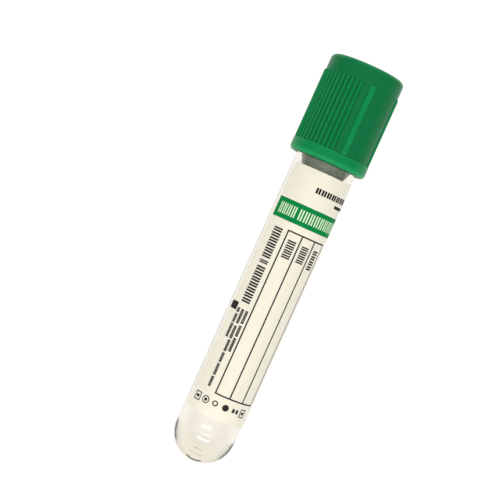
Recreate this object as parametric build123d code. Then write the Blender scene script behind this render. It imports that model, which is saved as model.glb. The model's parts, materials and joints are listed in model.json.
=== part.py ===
"""Blood collection tube, 13 x 75 mm, with a pull-off closure, lying on its side.

Each piece is drawn in the tube's own frame: its axis is +Z, the tip of the round bottom is at 0, and
the middle of the label's front faces -Y. An angle round the axis is 0 at the front and grows towards
+X. At the end the whole tube is laid down: its axis then runs along +X, the front faces up, and the
round bottom and the closure's collar touch the ground.
"""
import os
from math import asin, atan2, cos, degrees, hypot, radians, sin, sqrt

from build123d import *

# tube
TUBE_LENGTH = 75.0
TIP_FLAT_RADIUS = 1.75
MOUTH_RADIUS = 6.45
BOTTOM_RADIUS = 6.39
MOUTH_BORE_RADIUS = 5.5
BOTTOM_BORE_RADIUS = 5.38
BOTTOM_WALL = 1.5
RIM_ROUND = 0.4
GATE_MARK_RADIUS = 1.2
GATE_MARK_DEPTH = 0.3

# label, wrapped round the tube from its left edge to the right, short of a full turn
LABEL_START = 10.15
LABEL_END = 64.15
LABEL_INNER_RADIUS = 6.47
LABEL_THICKNESS = 0.08
LABEL_LEFT_ANGLE = -63.0
LABEL_SWEEP = 315.0
LABEL_CORNER = 1.2

# cap: collar, grip zone and plain top section
CAP_START = 66.15
CAP_END = 87.5
CAP_RADIUS = 7.95
CAP_TOP_ROUND = 1.1
CAP_BORE_RADIUS = 6.9
CAP_TOP_PLATE = 1.5
COLLAR_RADIUS = 8.25
COLLAR_TOP = 68.9
COLLAR_TURN_IN = 0.95
COLLAR_EDGE_ROUND = 0.15
SKIRT_LEAD_IN = 0.3
# the cap's round faces start and end at this angle, on the plain panel beside a wide rib
CAP_SEAM_ANGLE = 30

# cap: grip ribs, the same on both halves of the cap
HALVES = 2
FINE_RIBS = 15
FINE_RIB_FIRST_ANGLE = -2.7
FINE_RIB_PITCH = -7.28
FINE_RIB_RADIUS = 0.28
FINE_RIB_TIP = 8.17
WIDE_RIB_ANGLE = 15.8
WIDE_RIB_WIDTH = 1.3
WIDE_RIB_TIP = 8.22
RIB_END = 83.85
RIB_RUN_OUT = 0.3

# cap: needle guide and the bead that keeps the stopper in
GUIDE_BORE_RADIUS = 4.25
GUIDE_WALL = 1.0
GUIDE_END = 82.5
GUIDE_MOUTH_ROUND = 0.5
BEAD_RADIUS = 6.62
BEAD_MIDDLE = 74.3
BEAD_HALF_HEIGHT = 0.5

# stopper
SEAT_GAP = 0.05
PLUG_START = 63.5
PLUG_RADIUS = 5.4
PLUG_WAIST_RADIUS = 5.15
PLUG_RING = 2.6
PLUG_TAPER = 2.7
PLUG_END_RADIUS = 4.3
PLUG_CAVITY_RADIUS = 3.0
PLUG_CAVITY_END = 76.5
FLANGE_RADIUS = 6.8
FLANGE_THICKNESS = 2.0
FLANGE_ROUND = 0.3
HEAD_RADIUS = 5.6
DIMPLE_RADIUS = 3.4
DIMPLE_DEPTH = 1.3

# how far a shape that is joined on or cut away reaches past the face that it meets
REACH = 1.0


def turned(outline):
    """The solid that a closed outline in the XZ plane sweeps in a full turn about Z."""
    return revolve(outline, axis=Axis.Z)


def round_corner(section, corner, radius):
    """Rounds one corner, given as (radius, height), of the outline being drawn."""
    fillet(section.vertices().sort_by_distance((*corner, 0))[0], radius)


def at_angle(angle):
    """Turns something drawn at the front (-Y) by an angle round the axis."""
    return Rot(0, 0, angle)


def bottom_centre():
    """The height of the round bottom's centre: the bottom is a ball that ends in a small flat."""
    return sqrt(BOTTOM_RADIUS**2 - TIP_FLAT_RADIUS**2)


def make_tube():
    bore_centre = BOTTOM_WALL + BOTTOM_BORE_RADIUS
    diagonal = sin(radians(45))
    with BuildSketch(Plane.XZ) as section:
        with BuildLine():
            Line((0, 0), (TIP_FLAT_RADIUS, 0))
            RadiusArc((TIP_FLAT_RADIUS, 0), (BOTTOM_RADIUS, bottom_centre()), -BOTTOM_RADIUS)
            Line((BOTTOM_RADIUS, bottom_centre()), (MOUTH_RADIUS, TUBE_LENGTH))
            Line((MOUTH_RADIUS, TUBE_LENGTH), (MOUTH_BORE_RADIUS, TUBE_LENGTH))
            Line((MOUTH_BORE_RADIUS, TUBE_LENGTH), (BOTTOM_BORE_RADIUS, bore_centre))
            ThreePointArc(
                (BOTTOM_BORE_RADIUS, bore_centre),
                (BOTTOM_BORE_RADIUS * diagonal, bore_centre - BOTTOM_BORE_RADIUS * diagonal),
                (0, BOTTOM_WALL),
            )
            Line((0, BOTTOM_WALL), (0, 0))
        make_face()
    tube = turned(section.sketch)
    rim = tube.edges().group_by(Axis.Z)[-1]
    tube = fillet(rim, RIM_ROUND)
    return tube - Cylinder(GATE_MARK_RADIUS, 2 * GATE_MARK_DEPTH)


def label_corner(side, end):
    """What rounding takes off one of the label's corners: side -1 or 1 across, end -1 or 1 along."""
    beyond = LABEL_CORNER + REACH
    square = Pos(side * beyond / 2, end * beyond / 2) * Rectangle(beyond, beyond)
    chip = square - Circle(LABEL_CORNER)
    return extrude(Plane.XZ.offset(LABEL_INNER_RADIUS - REACH) * chip, 2 * REACH)


def make_label():
    middle = (LABEL_INNER_RADIUS + LABEL_THICKNESS / 2, (LABEL_START + LABEL_END) / 2)
    strip = Pos(*middle) * Rectangle(LABEL_THICKNESS, LABEL_END - LABEL_START)
    label = revolve(Plane.XZ * strip, axis=Axis.Z, revolution_arc=LABEL_SWEEP)
    # the strip is drawn at +X, which is 90 degrees round from the front
    label = at_angle(LABEL_LEFT_ANGLE - 90) * label
    inset = degrees(asin(LABEL_CORNER / LABEL_INNER_RADIUS))
    corner_places = {-1: LABEL_LEFT_ANGLE + inset, 1: LABEL_LEFT_ANGLE + LABEL_SWEEP - inset}
    for side, angle in corner_places.items():
        label -= at_angle(angle) * Pos(0, 0, LABEL_START + LABEL_CORNER) * label_corner(side, -1)
        label -= at_angle(angle) * Pos(0, 0, LABEL_END - LABEL_CORNER) * label_corner(side, 1)
    return label


def cap_shell():
    """The cap with no ribs: outer wall, collar, top plate, needle guide and bead."""
    plate = CAP_END - CAP_TOP_PLATE
    guide_outer = GUIDE_BORE_RADIUS + GUIDE_WALL
    with BuildSketch(Plane.XZ) as section:
        with BuildLine():
            Polyline(
                (COLLAR_RADIUS, CAP_START),
                (COLLAR_RADIUS, COLLAR_TOP),
                (CAP_RADIUS, COLLAR_TOP),
                (CAP_RADIUS, CAP_END),
                (GUIDE_BORE_RADIUS, CAP_END),
                (GUIDE_BORE_RADIUS, GUIDE_END),
                (guide_outer, GUIDE_END),
                (guide_outer, plate),
                (CAP_BORE_RADIUS, plate),
                (CAP_BORE_RADIUS, BEAD_MIDDLE + BEAD_HALF_HEIGHT),
                (BEAD_RADIUS, BEAD_MIDDLE),
                (CAP_BORE_RADIUS, BEAD_MIDDLE - BEAD_HALF_HEIGHT),
                (CAP_BORE_RADIUS, CAP_START + SKIRT_LEAD_IN),
                (CAP_BORE_RADIUS + SKIRT_LEAD_IN / 2, CAP_START),
                close=True,
            )
        make_face()
        round_corner(section, (COLLAR_RADIUS, CAP_START), COLLAR_TURN_IN)
        round_corner(section, (CAP_RADIUS, CAP_END), CAP_TOP_ROUND)
        round_corner(section, (COLLAR_RADIUS, COLLAR_TOP), COLLAR_EDGE_ROUND)
        round_corner(section, (GUIDE_BORE_RADIUS, CAP_END), GUIDE_MOUTH_ROUND)
    return at_angle(CAP_SEAM_ANGLE) * turned(section.sketch)


def rib_envelope(tip):
    """What a rib of this tip radius may fill: it runs out to the cap's wall at its top end."""
    with BuildSketch(Plane.XZ) as section:
        with BuildLine():
            Polyline(
                (0, COLLAR_TOP - REACH),
                (tip, COLLAR_TOP - REACH),
                (tip, RIB_END - RIB_RUN_OUT),
                (CAP_RADIUS, RIB_END),
                (0, RIB_END),
                close=True,
            )
        make_face()
    return turned(section.sketch)


def make_ribs():
    """The fine ribs and the wide ribs, as one group that overlaps the cap's wall."""
    height = RIB_END - COLLAR_TOP + REACH
    fine_axis = FINE_RIB_TIP - FINE_RIB_RADIUS
    fine = Pos(0, -fine_axis, COLLAR_TOP - REACH) * extrude(Circle(FINE_RIB_RADIUS), height)
    wide = Pos(0, -CAP_RADIUS, COLLAR_TOP - REACH) * extrude(Rectangle(WIDE_RIB_WIDTH, REACH), height)
    fine_ribs = []
    wide_ribs = []
    for half in range(HALVES):
        turn = half * 360 / HALVES
        wide_ribs.append(at_angle(turn + WIDE_RIB_ANGLE) * wide)
        for rib in range(FINE_RIBS):
            fine_ribs.append(at_angle(turn + FINE_RIB_FIRST_ANGLE + rib * FINE_RIB_PITCH) * fine)
    fine_group = [rib & rib_envelope(FINE_RIB_TIP) for rib in fine_ribs]
    wide_group = [rib & rib_envelope(WIDE_RIB_TIP) for rib in wide_ribs]
    return fine_group + wide_group


def make_cap():
    cap = cap_shell()
    for rib in make_ribs():
        cap += rib
    return cap


def make_stopper():
    seat = TUBE_LENGTH + SEAT_GAP
    flange_top = seat + FLANGE_THICKNESS
    waist_end = seat - PLUG_RING
    ring_start = PLUG_START + PLUG_TAPER
    waist_start = ring_start + PLUG_RING
    slope = PLUG_RADIUS - PLUG_WAIST_RADIUS
    with BuildSketch(Plane.XZ) as section:
        with BuildLine():
            Polyline(
                (PLUG_CAVITY_RADIUS, PLUG_START),
                (PLUG_END_RADIUS, PLUG_START),
                (PLUG_RADIUS, ring_start),
                (PLUG_RADIUS, waist_start),
                (PLUG_WAIST_RADIUS, waist_start + slope),
                (PLUG_WAIST_RADIUS, waist_end - slope),
                (PLUG_RADIUS, waist_end),
                (PLUG_RADIUS, seat),
                (FLANGE_RADIUS, seat),
                (FLANGE_RADIUS, flange_top),
                (HEAD_RADIUS, flange_top),
                (HEAD_RADIUS, GUIDE_END),
                (DIMPLE_RADIUS, GUIDE_END),
            )
            dimple_radius = (DIMPLE_RADIUS**2 + DIMPLE_DEPTH**2) / (2 * DIMPLE_DEPTH)
            RadiusArc((DIMPLE_RADIUS, GUIDE_END), (0, GUIDE_END - DIMPLE_DEPTH), dimple_radius)
            Polyline(
                (0, GUIDE_END - DIMPLE_DEPTH),
                (0, PLUG_CAVITY_END),
                (PLUG_CAVITY_RADIUS, PLUG_CAVITY_END - PLUG_CAVITY_RADIUS / 2),
                (PLUG_CAVITY_RADIUS, PLUG_START),
            )
        make_face()
        round_corner(section, (FLANGE_RADIUS, seat), FLANGE_ROUND)
        round_corner(section, (FLANGE_RADIUS, flange_top), FLANGE_ROUND)
    return turned(section.sketch)


def resting_tilt():
    """How far the lying tube's axis rises towards the cap, in degrees.

    The ground touches the round bottom and the arc where the collar turns in, so it is the common
    tangent of two circles: their centres' distance along the axis, their centres' distance across it
    and their radii give the angle.
    """
    along = CAP_START + COLLAR_TURN_IN - bottom_centre()
    across = COLLAR_RADIUS - COLLAR_TURN_IN
    apart = hypot(along, across)
    return degrees(atan2(across, along) - asin((BOTTOM_RADIUS - COLLAR_TURN_IN) / apart))


def lay_down(shape, shift):
    """Turns the tube's axis from +Z to +X, raised by the resting tilt, with the front facing up."""
    tilt = radians(resting_tilt())
    # the round bottom's centre stands one bottom radius above the ground
    origin = Vector(shift, 0, BOTTOM_RADIUS - bottom_centre() * sin(tilt))
    return Plane(origin=origin, x_dir=(0, -1, 0), z_dir=(cos(tilt), 0, sin(tilt))).location * shape


def main():
    pieces = {
        "tube": make_tube(),
        "label": make_label(),
        "cap": make_cap(),
        "stopper": make_stopper(),
    }
    lying = Compound(children=[Compound(lay_down(piece, 0).wrapped) for piece in pieces.values()])
    middle = lying.bounding_box().center().X
    os.makedirs("parts", exist_ok=True)
    for node, piece in pieces.items():
        export_step(lay_down(piece, -middle), f"parts/{node}.step")
    print(f"resting tilt {resting_tilt():.3f} degrees, tip of the tube at x = {-middle:.3f} mm")


main()
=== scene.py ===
"""The looks of a 13 x 75 mm blood collection tube that lies on its side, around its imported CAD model.

Shapes are drawn in the tube's own frame, in millimetres: +Z runs along the tube from the tip of its
round bottom to the cap, -Y is the middle of the label's front, and an angle round the axis is 0 at
the front and grows towards +X. TUBE_FRAME turns that frame into the shared one, in metres.
"""
import json
from math import acos, cos, degrees, pi, radians, sin, sqrt

import bmesh
import bpy
from mathutils import Matrix, Vector


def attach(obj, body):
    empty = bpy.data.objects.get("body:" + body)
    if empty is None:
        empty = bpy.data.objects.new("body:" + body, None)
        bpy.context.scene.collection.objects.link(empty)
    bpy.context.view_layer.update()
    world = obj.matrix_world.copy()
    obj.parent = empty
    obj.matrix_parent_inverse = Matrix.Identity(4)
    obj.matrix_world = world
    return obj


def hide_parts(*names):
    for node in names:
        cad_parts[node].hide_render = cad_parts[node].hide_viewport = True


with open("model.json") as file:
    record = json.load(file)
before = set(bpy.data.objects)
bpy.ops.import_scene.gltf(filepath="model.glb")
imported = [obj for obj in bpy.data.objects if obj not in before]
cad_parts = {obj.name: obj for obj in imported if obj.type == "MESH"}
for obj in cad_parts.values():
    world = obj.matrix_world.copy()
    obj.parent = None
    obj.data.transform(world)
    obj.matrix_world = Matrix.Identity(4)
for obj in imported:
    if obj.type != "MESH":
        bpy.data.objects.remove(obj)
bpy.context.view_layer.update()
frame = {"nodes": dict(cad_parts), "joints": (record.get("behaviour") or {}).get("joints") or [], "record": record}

# ---------------------------------------------------------------- the tube's own frame
LABEL_MIDDLE = 37.15
MM = 0.001
MOUNTS = {mount["name"]: mount for mount in frame["record"]["mounts"]}
AXIS = Vector(frame["joints"][0]["axis"]).normalized()
RIGHT = Vector((0, -1, 0))
BACK = AXIS.cross(RIGHT)
TIP = Vector(MOUNTS["rack_shank"]["pos_m"]) - AXIS * LABEL_MIDDLE * MM
TUBE_TURN = Matrix((RIGHT, BACK, AXIS)).transposed().to_4x4()
TUBE_FRAME = Matrix.Translation(TIP) @ TUBE_TURN @ Matrix.Scale(MM, 4)

# ---------------------------------------------------------------- sizes, in millimetres and degrees
TUBE_LENGTH = 75.0
MOUTH_RADIUS = 6.45
BOTTOM_RADIUS = 6.39
TIP_FLAT_RADIUS = 1.75
BOTTOM_CENTRE = sqrt(BOTTOM_RADIUS**2 - TIP_FLAT_RADIUS**2)
MOUTH_BORE_RADIUS = 5.5
BOTTOM_BORE_RADIUS = 5.38
BOTTOM_WALL = 1.5
# the bore is straight for this far below the mouth
MOUTH_STRAIGHT = 1.0
RIM_ROUND = 0.4
GATE_MARK_RADIUS = 1.2
GATE_MARK_DEPTH = 0.3
TUBE_SEGMENTS = 192
ROUND_BOTTOM_STEPS = 56

LABEL_START = 10.15
LABEL_END = 64.15
LABEL_INNER = 6.47
LABEL_OUTER = MOUNTS["rack_shank"]["dims"]["r_mm"]
LABEL_LEFT = -63.0
LABEL_SWEEP = 315.0
LABEL_CORNER = 1.2
LABEL_CORNER_STEPS = 8
LABEL_PLAIN_STEPS = 200

CAP_START = 66.15
CAP_END = 87.5
CAP_RADIUS = 7.95
CAP_TOP_ROUND = 1.1
CAP_BORE_RADIUS = 6.9
CAP_TOP_PLATE = 1.5
COLLAR_RADIUS = MOUNTS["cap_grip"]["dims"]["r_mm"]
COLLAR_TOP = 68.9
COLLAR_TURN_IN = 0.95
COLLAR_EDGE_ROUND = 0.15
SKIRT_LEAD_IN = 0.3
RIB_END = 83.85
RIB_RUN_OUT = 0.3
RUN_OUT_STEPS = 8
RIB_FOOT = 0.05
FINE_RIBS = 15
FINE_RIB_FIRST = -2.7
FINE_RIB_PITCH = -7.28
FINE_RIB_HALF_WIDTH = 0.28
FINE_RIB_HEIGHT = 0.22
# how many half widths a fine rib takes to ease into the wall
FINE_RIB_SPREAD = 1.35
GROOVE_DEPTH = 0.05
# how many half pitches the lower wall reaches from a fine rib's middle
GROOVE_REACH = 1.1
WIDE_RIB_ANGLE = 15.8
WIDE_RIB_HALF_WIDTH = 0.65
WIDE_RIB_HEIGHT = 0.27
WIDE_RIB_SHOULDER = 0.14
GUIDE_BORE_RADIUS = 4.25
GUIDE_WALL = 1.0
GUIDE_END = 82.5
GUIDE_MOUTH_ROUND = 0.5
BEAD_RADIUS = 6.62
BEAD_MIDDLE = 74.3
BEAD_HALF_HEIGHT = 0.5
CAP_SEGMENTS = 1080
# how strongly painted highlights lighten the cap at some heights, from 0 to 1: the collar's two edges and the top
# corner
EDGE_HIGHLIGHT = (
    (66.2, 0.0),
    (66.5, 0.9),
    (66.8, 0.9),
    (67.4, 0.0),
    (68.6, 0.0),
    (68.8, 0.4),
    (68.9, 0.4),
    (69.0, 0.0),
    (86.6, 0.0),
    (87.2, 0.5),
    (87.45, 0.6),
)

# print is drawn from this far inside the label's face to this far out of it
PRINT_SINK = 0.01
PRINT_RISE = 0.012
# the share by which the light strokes are widened, so that they lie on the band
LIGHT_LIFT = 0.0015
# print follows the label's round in steps of about this angle
PRINT_STEP = 3.0
CIRCLE_STEPS = 24
# where the two strokes of a pair start, and a stroke's weight, as shares of the pair
STROKE_STARTS = (0.06, 0.52)
DOWN_WEIGHT = 0.32
ACROSS_WEIGHT = 0.36
LIGHT_WEIGHT = 0.24
SMALL_WEIGHT = 0.42
BAND = (-60.5, 52.5, 56.7)
FRAME_LINE = 0.3
FRAME_LOW = 15.3
FRAME_HIGH = 50.7
FRAME_ANGLES = (-13.2, 14.3, 41.3, 69.0)
# fields of print as (left, right, low, high, pairs of strokes), down the tube and across it
DOWN_FIELDS = (
    (-41.5, -23.3, 43.85, 50.7, 6),
    (-41.5, -23.3, 42.6, 43.5, 1),
    (-41.5, -23.3, 33.9, 42.15, 7),
    (-7.0, 8.5, 45.25, 49.25, 4),
    (20.4, 35.3, 45.4, 49.15, 4),
    (48.0, 61.3, 44.85, 49.25, 4),
)
ACROSS_FIELDS = ((1.5, 112.0, 59.8, 61.0, 10),)
LIGHT_FIELDS = ((-50.3, -11.9, 53.45, 55.75, 4), (-8.5, 118.0, 53.45, 55.75, 12))
# plain bars as (left, right, low, high)
BARS = (
    (49.5, 105.0, 58.45, 59.1),
    (LABEL_LEFT, -45.0, 31.95, 33.6),
)
# lines of small print as (left, right, ends of its words from the top down)
SMALL_LINES = (
    (-42.4, -36.4, (32.7, 31.7, 31.4, 29.5, 29.3, 26.3)),
    (-33.0, -27.3, (32.7, 29.6, 29.1, 26.3, 26.0, 23.5, 23.2, 21.1, 20.8, 18.3, 18.0, 15.8)),
    (-24.2, -18.7, (32.7, 29.9, 29.5, 27.1, 26.8, 23.8)),
)
SMALL_PITCH = 0.42
# the row of plain marks below the frame
MARK_LINE = 0.2
MARK_BOXES = ((-50.5, -36.4, 12.45, 13.85), (45.5, 58.5, 12.45, 13.85))
MARK_BARS = (
    (-46.8, -40.1, 12.85, 13.45),
    (27.6, 32.6, 12.75, 13.6),
    (35.4, 40.4, 12.75, 13.6),
    (49.0, 55.0, 12.85, 13.45),
)
# as (angle, height, outer radius, inner radius)
MARK_CIRCLES = (
    (-24.9, 13.15, 0.8, 0.6),
    (-24.9, 13.15, 0.35, 0),
    (-6.2, 13.2, 0.6, 0.35),
    (14.1, 13.15, 0.7, 0),
)

# points nearer than this, in millimetres, are one
SAME_POINT = 1e-5


# ---------------------------------------------------------------- mesh helpers
def on_tube(radius, angle, along):
    """A point in the tube's own frame from its radius, its angle round the axis and its height."""
    a = radians(angle)
    return Vector((radius * sin(a), -radius * cos(a), along))


def finish_piece(bm, name, material, body, sharp=35.0):
    """Makes a shown piece of a bmesh drawn in the tube's own frame, riding on a CAD body.

    sharp is the angle in degrees from which an edge shows as a sharp one.
    """
    bmesh.ops.recalc_face_normals(bm, faces=bm.faces)
    mesh = bpy.data.meshes.new(name)
    bm.to_mesh(mesh)
    bm.free()
    mesh.transform(TUBE_FRAME)
    mesh.shade_smooth()
    mesh.set_sharp_from_angle(angle=radians(sharp))
    mesh.materials.append(material)
    piece = bpy.data.objects.new(name, mesh)
    bpy.context.scene.collection.objects.link(piece)
    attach(piece, body)
    return piece


def rounded(corners, steps=8):
    """The points of a path of (x, y, rounding radius) corners, with an arc at each rounded one."""
    points = []
    for i, (x, y, radius) in enumerate(corners):
        here = Vector((x, y))
        if not radius or i in (0, len(corners) - 1):
            points.append(here)
            continue
        before = (Vector(corners[i - 1][:2]) - here).normalized()
        after = (Vector(corners[i + 1][:2]) - here).normalized()
        half = acos(max(-1.0, min(1.0, before.dot(after)))) / 2
        centre = here + (before + after).normalized() * radius / sin(half)
        start = here + before * radius * cos(half) / sin(half) - centre
        end = here + after * radius * cos(half) / sin(half) - centre
        sweep = start.angle_signed(end)
        for step in range(steps + 1):
            turn = Matrix.Rotation(-sweep * step / steps, 2)
            points.append(centre + turn @ start)
    return points


def arc(centre, radius, start, end, steps):
    """Points of an arc about centre, from the start angle to the end angle, in degrees."""
    turns = (radians(start + (end - start) * i / steps) for i in range(steps + 1))
    return [Vector((centre[0] + radius * cos(t), centre[1] + radius * sin(t))) for t in turns]


def ring(bm, radius, along, segments):
    """A ring of vertices round the axis; radius is a number, or a function of the angle."""
    made = []
    for i in range(segments):
        angle = 360 * i / segments
        made.append(bm.verts.new(on_tube(radius(angle) if callable(radius) else radius, angle, along)))
    return made


def lathe(bm, profile, segments, closed=False):
    """Turns a profile of (radius, height) points about the axis; a radius of 0 is one point."""
    rows = []
    for radius, along in profile:
        on_axis = not callable(radius) and radius < SAME_POINT
        rows.append([bm.verts.new((0, 0, along))] if on_axis else ring(bm, radius, along, segments))
    pairs = list(zip(rows, rows[1:]))
    if closed:
        pairs.append((rows[-1], rows[0]))
    for low, high in pairs:
        for i in range(segments):
            j = (i + 1) % segments
            if len(low) == 1:
                bm.faces.new((low[0], high[i], high[j]))
            elif len(high) == 1:
                bm.faces.new((low[i], low[j], high[0]))
            else:
                bm.faces.new((low[i], low[j], high[j], high[i]))


# ---------------------------------------------------------------- materials
def new_material(name):
    """A material with its nodes, its shader and a small function that adds a node."""
    material = bpy.data.materials.new(name)
    material.use_nodes = True
    nodes = material.node_tree.nodes
    shader = nodes["Principled BSDF"]

    def add(kind, **values):
        node = nodes.new(kind)
        for key, value in values.items():
            if key in node.inputs:
                node.inputs[key].default_value = value
            else:
                setattr(node, key, value)
        return node

    return material, shader, add, material.node_tree.links.new


def mottled(add, link, scale, low, high):
    """A colour socket that drifts between two colours with soft noise."""
    place = add("ShaderNodeTexCoord")
    noise = add("ShaderNodeTexNoise", Scale=scale, Detail=4.0)
    ramp = add("ShaderNodeValToRGB")
    ramp.color_ramp.elements[0].color = (*low, 1)
    ramp.color_ramp.elements[1].color = (*high, 1)
    ramp.color_ramp.elements[0].position = 0.3
    ramp.color_ramp.elements[1].position = 0.7
    link(place.outputs["Object"], noise.inputs["Vector"])
    link(noise.outputs["Fac"], ramp.inputs["Fac"])
    return ramp.outputs["Color"]


def share_between(add, link, start, end, along=False):
    """A socket that goes from 0 to 1 between two distances from the tube's axis, or along it."""
    place = add("ShaderNodeTexCoord")
    from_tip = add("ShaderNodeVectorMath", operation="SUBTRACT")
    from_tip.inputs[1].default_value = TIP
    part = add("ShaderNodeVectorMath", operation="DOT_PRODUCT" if along else "CROSS_PRODUCT")
    part.inputs[1].default_value = AXIS
    share = add("ShaderNodeMapRange")
    share.inputs["From Min"].default_value = start * MM
    share.inputs["From Max"].default_value = end * MM
    link(place.outputs["Object"], from_tip.inputs[0])
    link(from_tip.outputs["Vector"], part.inputs[0])
    if along:
        link(part.outputs["Value"], share.inputs["Value"])
    else:
        radius = add("ShaderNodeVectorMath", operation="LENGTH")
        link(part.outputs["Vector"], radius.inputs[0])
        link(radius.outputs["Value"], share.inputs["Value"])
    return share.outputs["Result"]


def mixed(add, link, share, low, high):
    """A colour socket between two colour sockets, by a share."""
    mix = add("ShaderNodeMix", data_type="RGBA")
    link(share, mix.inputs["Factor"])
    link(low, mix.inputs["A"])
    link(high, mix.inputs["B"])
    return mix.outputs["Result"]


def grain(add, link, shader, scale, strength, distance):
    """A fine bump on the shader's normal."""
    place = add("ShaderNodeTexCoord")
    noise = add("ShaderNodeTexNoise", Scale=scale, Detail=3.0)
    bump = add("ShaderNodeBump", Strength=strength, Distance=distance)
    link(place.outputs["Object"], noise.inputs["Vector"])
    link(noise.outputs["Fac"], bump.inputs["Height"])
    link(bump.outputs["Normal"], shader.inputs["Normal"])


def clear_pet():
    """Clear PET, which looks warmer and darker the further light goes inside it."""
    material, shader, add, link = new_material("clear_pet")
    shader.inputs["Base Color"].default_value = (0.97, 0.962, 0.935, 1)
    shader.inputs["Transmission Weight"].default_value = 1.0
    shader.inputs["IOR"].default_value = 1.57
    shader.inputs["Roughness"].default_value = 0.015
    grain(add, link, shader, scale=260, strength=0.02, distance=0.0002)
    inside = add("ShaderNodeVolumeAbsorption", Color=(0.80, 0.74, 0.58, 1), Density=220.0)
    link(inside.outputs["Volume"], material.node_tree.nodes["Material Output"].inputs["Volume"])
    return material


def label_film():
    """A white film label, which lets some light through."""
    material, shader, add, link = new_material("label_film")
    link(mottled(add, link, 900, (0.96, 0.92, 0.79), (0.99, 0.95, 0.82)), shader.inputs["Base Color"])
    shader.inputs["Roughness"].default_value = 0.42
    shader.inputs["Transmission Weight"].default_value = 0.3
    shader.inputs["Specular IOR Level"].default_value = 0.25
    grain(add, link, shader, scale=3000, strength=0.05, distance=0.0001)
    return material


def painted_edge_highlight(add, link):
    """How strongly painted highlights lighten the cap at a height, from 0 to 1."""
    wear = add("ShaderNodeValToRGB")
    ramp = wear.color_ramp
    first, last = ramp.elements
    first.color = last.color = (0, 0, 0, 1)
    for height, share in EDGE_HIGHLIGHT:
        element = ramp.elements.new((height - CAP_START) / (CAP_END - CAP_START))
        element.color = (share, share, share, 1)
    link(share_between(add, link, CAP_START, CAP_END, along=True), wear.inputs["Fac"])
    return wear.outputs["Color"]


def green_plastic():
    """Moulded polyethylene, with painted shade in the grooves, painted light on the ribs and the collar, and
    painted highlights at its edges.
    """
    material, shader, add, link = new_material("green_plastic")
    # painted shade darkens the grooves and painted light brightens the ribs and the collar, by the distance from
    # the axis
    groove_shade = mottled(add, link, 500, (0.0005, 0.103, 0.030), (0.001, 0.112, 0.034))
    wall = mottled(add, link, 500, (0.001, 0.133, 0.039), (0.0015, 0.143, 0.043))
    lit_raised = mottled(add, link, 500, (0.001, 0.197, 0.055), (0.0015, 0.211, 0.060))
    # painted highlights on the collar's two edges and the cap's top corner
    highlight_colour = mottled(add, link, 500, (0.010, 0.27, 0.090), (0.012, 0.30, 0.100))
    out_of_groove_shade = share_between(add, link, CAP_RADIUS - GROOVE_DEPTH, CAP_RADIUS - GROOVE_DEPTH / 5)
    onto_lit_rib = share_between(add, link, CAP_RADIUS, CAP_RADIUS + FINE_RIB_HEIGHT / 3)
    past_ribs = share_between(add, link, RIB_END, RIB_END + RIB_RUN_OUT, along=True)
    shaded_grip = mixed(add, link, onto_lit_rib, mixed(add, link, out_of_groove_shade, groove_shade, wall), lit_raised)
    before_highlight = mixed(add, link, past_ribs, shaded_grip, wall)
    link(mixed(add, link, painted_edge_highlight(add, link), before_highlight, highlight_colour), shader.inputs["Base Color"])
    shader.inputs["Roughness"].default_value = 0.3
    shader.inputs["Specular IOR Level"].default_value = 0.08
    grain(add, link, shader, scale=2500, strength=0.10, distance=0.00015)
    return material


def grey_rubber():
    """Grey stopper rubber with a soft bloom."""
    material, shader, add, link = new_material("grey_rubber")
    link(mottled(add, link, 700, (0.115, 0.20, 0.10), (0.135, 0.22, 0.12)), shader.inputs["Base Color"])
    shader.inputs["Roughness"].default_value = 0.5
    shader.inputs["Sheen Weight"].default_value = 1.0
    shader.inputs["Sheen Roughness"].default_value = 0.5
    grain(add, link, shader, scale=2000, strength=0.1, distance=0.0002)
    return material


def ink(name, low, high):
    """Printing ink that drifts a little between two colours."""
    material, shader, add, link = new_material(name)
    link(mottled(add, link, 1500, low, high), shader.inputs["Base Color"])
    shader.inputs["Roughness"].default_value = 0.45
    shader.inputs["Specular IOR Level"].default_value = 0.03
    return material


# ---------------------------------------------------------------- pieces
def make_tube_wall():
    """The clear tube in one piece: gate mark, round bottom, wall, rounded rim and bore."""
    bore_centre = BOTTOM_WALL + BOTTOM_BORE_RADIUS
    flat_edge = degrees(acos(TIP_FLAT_RADIUS / BOTTOM_RADIUS))
    outside = arc((0, BOTTOM_CENTRE), BOTTOM_RADIUS, -flat_edge, 0, ROUND_BOTTOM_STEPS)
    mouth = rounded(
        [
            (BOTTOM_RADIUS, BOTTOM_CENTRE, 0),
            (MOUTH_RADIUS, TUBE_LENGTH, RIM_ROUND),
            (MOUTH_BORE_RADIUS, TUBE_LENGTH, RIM_ROUND),
            (MOUTH_BORE_RADIUS, TUBE_LENGTH - MOUTH_STRAIGHT, 0),
        ]
    )
    inside = arc((0, bore_centre), BOTTOM_BORE_RADIUS, 0, -90, ROUND_BOTTOM_STEPS)
    inside[-1].x = 0
    gate_mark = [(0, GATE_MARK_DEPTH), (GATE_MARK_RADIUS, GATE_MARK_DEPTH), (GATE_MARK_RADIUS, 0)]
    bm = bmesh.new()
    lathe(bm, gate_mark + outside + mouth[1:] + inside, TUBE_SEGMENTS)
    wall = finish_piece(bm, "tube_wall", clear_pet(), "tube", sharp=50)
    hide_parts("tube")
    return wall


def sweep(bm, sections, closed=False):
    """Joins sections, each a list of points in the tube's own frame, into one closed shape."""
    loops = [[bm.verts.new(point) for point in section] for section in sections]
    pairs = list(zip(loops, loops[1:]))
    if closed:
        pairs.append((loops[-1], loops[0]))
    else:
        bm.faces.new(loops[0])
        bm.faces.new(loops[-1])
    count = len(loops[0])
    for here, there in pairs:
        for k in range(count):
            bm.faces.new((here[k], there[k], there[(k + 1) % count], here[(k + 1) % count]))


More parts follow.
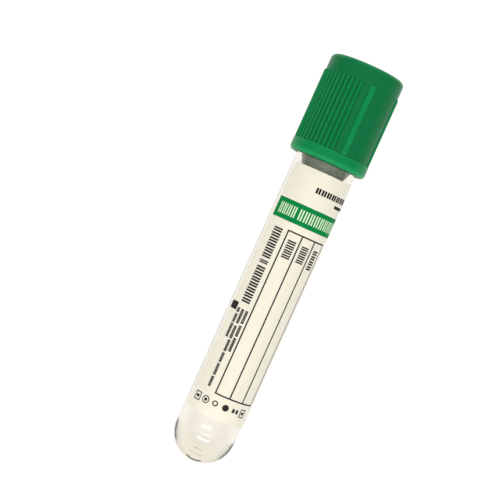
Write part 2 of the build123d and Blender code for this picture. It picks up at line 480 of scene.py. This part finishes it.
def label_columns():
    """(angle, lower end, upper end) of the label's columns, closing round its corners."""
    columns = []
    for step in range(LABEL_CORNER_STEPS + 1):
        turn = radians(90 * step / LABEL_CORNER_STEPS)
        columns.append((LABEL_CORNER * (1 - cos(turn)), LABEL_CORNER * (1 - sin(turn))))
    width = radians(LABEL_SWEEP) * LABEL_OUTER
    middle = [
        (LABEL_CORNER + (width - 2 * LABEL_CORNER) * step / LABEL_PLAIN_STEPS, 0)
        for step in range(1, LABEL_PLAIN_STEPS)
    ]
    far = [(width - across, inset) for across, inset in reversed(columns)]
    return [
        (LABEL_LEFT + degrees(across / LABEL_OUTER), LABEL_START + inset, LABEL_END - inset)
        for across, inset in columns + middle + far
    ]


def wall_section(angle, low, high, inner, outer):
    """The corners of a thin wall's cross-section at an angle, between two heights and two radii."""
    corners = [(inner, low), (outer, low), (outer, high), (inner, high)]
    return [on_tube(radius, angle, along) for radius, along in corners]


def make_label():
    bm = bmesh.new()
    sweep(bm, [wall_section(*column, LABEL_INNER, LABEL_OUTER) for column in label_columns()])
    label = finish_piece(bm, "label_sheet", label_film(), "tube")
    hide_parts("label")
    return label


def off_angle(angle, middle):
    """How far an angle is from the nearer of two opposite ones, in millimetres round the cap."""
    return abs(radians((angle - middle + 90) % 180 - 90) * CAP_RADIUS)


def rib_height(angle):
    """How far the ribs stand out of the cap's wall at an angle round it, in millimetres."""
    across = min(off_angle(angle, FINE_RIB_FIRST + rib * FINE_RIB_PITCH) for rib in range(FINE_RIBS))
    # the wall is a little lower between the fine ribs, which are round and ease into it
    shoulder = min(1.0, across / FINE_RIB_HALF_WIDTH / FINE_RIB_SPREAD)
    ridge = (FINE_RIB_HEIGHT + GROOVE_DEPTH) * 0.5 * (1 + cos(pi * shoulder)) - GROOVE_DEPTH
    half_pitch = radians(-FINE_RIB_PITCH) * CAP_RADIUS / 2
    height = ridge if across < half_pitch * GROOVE_REACH else 0.0
    inside = WIDE_RIB_HALF_WIDTH - off_angle(angle, WIDE_RIB_ANGLE)
    if inside > 0:
        height = WIDE_RIB_HEIGHT * sin(min(1.0, inside / WIDE_RIB_SHOULDER) * pi / 2)
    return height


def ribbed(share, wall=CAP_RADIUS):
    """The cap's radius as a function of the angle, where the ribs stand out by a share."""
    return lambda angle: wall + RIB_TABLE[round(angle * CAP_SEGMENTS / 360) % CAP_SEGMENTS] * share


def make_cap():
    """The cap in one piece, from its skirt up its outside, down the needle guide and the inside."""
    plate = CAP_END - CAP_TOP_PLATE
    guide_outer = GUIDE_BORE_RADIUS + GUIDE_WALL
    turn_in_centre = (COLLAR_RADIUS - COLLAR_TURN_IN, CAP_START + COLLAR_TURN_IN)
    edge_centre = (COLLAR_RADIUS - COLLAR_EDGE_ROUND, COLLAR_TOP - COLLAR_EDGE_ROUND)
    profile = [(CAP_BORE_RADIUS + SKIRT_LEAD_IN / 2, CAP_START)]
    profile += arc(turn_in_centre, COLLAR_TURN_IN, -90, 0, steps=12)
    profile += arc(edge_centre, COLLAR_EDGE_ROUND, 0, 90, steps=4)
    # the ribs' feet ease out of the collar's ledge
    profile += [(ribbed(1, CAP_RADIUS + RIB_FOOT), COLLAR_TOP), (ribbed(1), COLLAR_TOP + RIB_FOOT)]
    profile += [(ribbed(1), RIB_END - RIB_RUN_OUT)]
    for step in range(1, RUN_OUT_STEPS + 1):
        turn = step / RUN_OUT_STEPS
        profile.append((ribbed(sqrt(max(0.0, 1 - turn**2))), RIB_END - RIB_RUN_OUT + RIB_RUN_OUT * turn))
    profile += rounded(
        [
            (CAP_RADIUS, RIB_END + RIB_RUN_OUT, 0),
            (CAP_RADIUS, CAP_END, CAP_TOP_ROUND),
            (GUIDE_BORE_RADIUS, CAP_END, GUIDE_MOUTH_ROUND),
            (GUIDE_BORE_RADIUS, GUIDE_END, 0),
        ]
    )
    profile += [
        (guide_outer, GUIDE_END),
        (guide_outer, plate),
        (CAP_BORE_RADIUS, plate),
        (CAP_BORE_RADIUS, BEAD_MIDDLE + BEAD_HALF_HEIGHT),
        (BEAD_RADIUS, BEAD_MIDDLE),
        (CAP_BORE_RADIUS, BEAD_MIDDLE - BEAD_HALF_HEIGHT),
        (CAP_BORE_RADIUS, CAP_START + SKIRT_LEAD_IN),
    ]
    bm = bmesh.new()
    lathe(bm, profile, CAP_SEGMENTS, closed=True)
    cap = finish_piece(bm, "cap_shell", green_plastic(), "cap", sharp=38)
    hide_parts("cap")
    return cap


def field(bm, left, right, low, high):
    """A thin field of print on the label, between two angles and two heights."""
    steps = max(1, round((right - left) / PRINT_STEP))
    angles = [left + (right - left) * step / steps for step in range(steps + 1)]
    levels = (LABEL_OUTER - PRINT_SINK, LABEL_OUTER + PRINT_RISE)
    sweep(bm, [wall_section(angle, low, high, *levels) for angle in angles])


def circle(bm, angle, along, outer, inner=0.0):
    """A printed ring, or a disc if inner is 0, round a place on the label."""
    edges = ((inner, -PRINT_SINK), (outer, -PRINT_SINK), (outer, PRINT_RISE), (inner, PRINT_RISE))
    sections = []
    for step in range(CIRCLE_STEPS):
        turn = 2 * pi * step / CIRCLE_STEPS
        corners = []
        for size, level in edges:
            across = degrees(size * cos(turn) / LABEL_OUTER)
            corners.append(on_tube(LABEL_OUTER + level, angle + across, along + size * sin(turn)))
        sections.append(corners)
    sweep(bm, sections, closed=True)
    if not inner:
        bmesh.ops.remove_doubles(bm, verts=bm.verts, dist=SAME_POINT)


def stroke_pairs(bm, left, right, low, high, count, down=False, weight=DOWN_WEIGHT):
    """Fills a field of the label with pairs of plain strokes, across it or down the tube.

    weight is a stroke's share of a pair.
    """
    for i in range(count):
        for start in STROKE_STARTS:
            near, far = (i + start) / count, (i + start + weight) / count
            if down:
                field(bm, left, right, high - (high - low) * far, high - (high - low) * near)
            else:
                field(bm, left + (right - left) * near, left + (right - left) * far, low, high)


def outline(bm, left, right, low, high, line):
    """A printed frame, with the width of its lines in millimetres."""
    turn = degrees(line / LABEL_OUTER)
    field(bm, left, left + turn, low, high)
    field(bm, right - turn, right, low, high)
    field(bm, left, right, high, high + line)
    field(bm, left, right, low - line, low)


def make_frame_print(bm):
    """The frame with its columns."""
    half = degrees(FRAME_LINE / LABEL_OUTER) / 2
    outline(bm, FRAME_ANGLES[0] - half, FRAME_ANGLES[-1] + half, FRAME_LOW, FRAME_HIGH, FRAME_LINE)
    for angle in FRAME_ANGLES[1:-1]:
        field(bm, angle - half, angle + half, FRAME_LOW, FRAME_HIGH)


def make_small_print(bm):
    """Words of small print, as rows of plain strokes down the tube."""
    for left, right, ends in SMALL_LINES:
        for high, low in zip(ends[::2], ends[1::2]):
            count = round((high - low) / SMALL_PITCH)
            stroke_pairs(bm, left, right, low, high, count, down=True, weight=SMALL_WEIGHT)


def make_marks(bm):
    """The row of plain squares, bars, rings and dots below the frame."""
    for box in MARK_BOXES:
        outline(bm, *box, MARK_LINE)
    for bar in MARK_BARS:
        field(bm, *bar)
    for mark in MARK_CIRCLES:
        circle(bm, *mark)


def make_black_print():
    bm = bmesh.new()
    make_frame_print(bm)
    make_small_print(bm)
    make_marks(bm)
    for strokes in DOWN_FIELDS:
        stroke_pairs(bm, *strokes, down=True)
    for strokes in ACROSS_FIELDS:
        stroke_pairs(bm, *strokes, weight=ACROSS_WEIGHT)
    for bar in BARS:
        field(bm, *bar)
    black = ink("black_ink", (0.018, 0.018, 0.016), (0.026, 0.026, 0.024))
    finish_piece(bm, "print_black", black, "tube")


def make_band():
    """The green band, with light strokes on it."""
    left, low, high = BAND
    bm = bmesh.new()
    field(bm, left, LABEL_LEFT + LABEL_SWEEP, low, high)
    green = ink("green_ink", (0.001, 0.185, 0.043), (0.0015, 0.205, 0.050))
    finish_piece(bm, "print_green", green, "tube")
    bm = bmesh.new()
    for strokes in LIGHT_FIELDS:
        stroke_pairs(bm, *strokes, weight=LIGHT_WEIGHT)
    bmesh.ops.scale(bm, vec=(1 + LIGHT_LIFT, 1 + LIGHT_LIFT, 1), verts=bm.verts)
    light = ink("light_ink", (0.56, 0.74, 0.50), (0.62, 0.80, 0.56))
    finish_piece(bm, "print_light", light, "tube")


# ---------------------------------------------------------------- the stage
def make_floor():
    """A white, glowing floor that the tube lies on."""
    mesh = bpy.data.meshes.new("floor")
    half = 1.5
    corners = [(-half, -half, 0), (half, -half, 0), (half, half, 0), (-half, half, 0)]
    mesh.from_pydata(corners, [], [(0, 1, 2, 3)])
    material, shader, add, link = new_material("floor_paper")
    link(mottled(add, link, 40, (0.08, 0.08, 0.08), (0.09, 0.09, 0.09)), shader.inputs["Base Color"])
    shader.inputs["Roughness"].default_value = 0.9
    shader.inputs["Specular IOR Level"].default_value = 0.0
    shader.inputs["Emission Color"].default_value = (1, 1, 1, 1)
    shader.inputs["Emission Strength"].default_value = 1.0
    mesh.materials.append(material)
    floor = bpy.data.objects.new("floor", mesh)
    bpy.context.scene.collection.objects.link(floor)


def make_softbox():
    """A long softbox beyond the round bottom, square across the tube, aimed at the shared origin."""
    lamp = bpy.data.lights.new("softbox", "AREA")
    lamp.shape = "RECTANGLE"
    lamp.size, lamp.size_y = 0.5, 0.09
    lamp.energy = 1.0
    lamp.color = (1, 0.98, 0.95)
    holder = bpy.data.objects.new("softbox", lamp)
    place = Vector((-0.26, -0.02, 0.56))
    back = place.normalized()
    long_side = (RIGHT - back * RIGHT.dot(back)).normalized()
    turned = Matrix((long_side, back.cross(long_side), back)).transposed()
    holder.matrix_world = Matrix.Translation(place) @ turned.to_4x4()
    bpy.context.scene.collection.objects.link(holder)


def make_studio():
    """A white studio, brightest overhead."""
    world = bpy.data.worlds.new("studio")
    bpy.context.scene.world = world
    world.use_nodes = True
    nodes = world.node_tree.nodes
    link = world.node_tree.links.new
    place = nodes.new("ShaderNodeTexCoord")
    height = nodes.new("ShaderNodeSeparateXYZ")
    strength = nodes.new("ShaderNodeMapRange")
    strength.inputs["To Min"].default_value = 0.46
    strength.inputs["To Max"].default_value = 1.34
    background = nodes["Background"]
    background.inputs["Color"].default_value = (1.0, 0.99, 0.97, 1)
    link(place.outputs["Generated"], height.inputs["Vector"])
    link(height.outputs["Z"], strength.inputs["Value"])
    link(strength.outputs["Result"], background.inputs["Strength"])


def place_camera():
    """Looks straight down on the tube, which leans to the right in the picture."""
    centre_along = 43.91
    centre_beside = 6.92
    distance = 0.302
    shown_width = 0.102
    lean = 24.2
    target = TIP + AXIS * centre_along * MM - RIGHT * centre_beside * MM
    camera = bpy.data.objects.new("camera", bpy.data.cameras.new("camera"))
    camera.location = target + Vector((0, 0, distance))
    camera.rotation_euler = (0, 0, radians(lean - 90))
    camera.data.lens = camera.data.sensor_width * distance / shown_width
    camera.data.clip_start = 0.01
    bpy.context.scene.collection.objects.link(camera)
    bpy.context.scene.camera = camera


def colour_stopper():
    """The stopper shows as its CAD mesh, in rubber."""
    materials = frame["nodes"]["stopper"].data.materials
    materials.clear()
    materials.append(grey_rubber())


RIB_TABLE = [rib_height(360 * i / CAP_SEGMENTS) for i in range(CAP_SEGMENTS)]
bpy.context.scene.view_settings.view_transform = "Standard"
place_camera()
make_floor()
make_studio()
make_softbox()
make_tube_wall()
make_label()
make_black_print()
make_band()
make_cap()
colour_stopper()
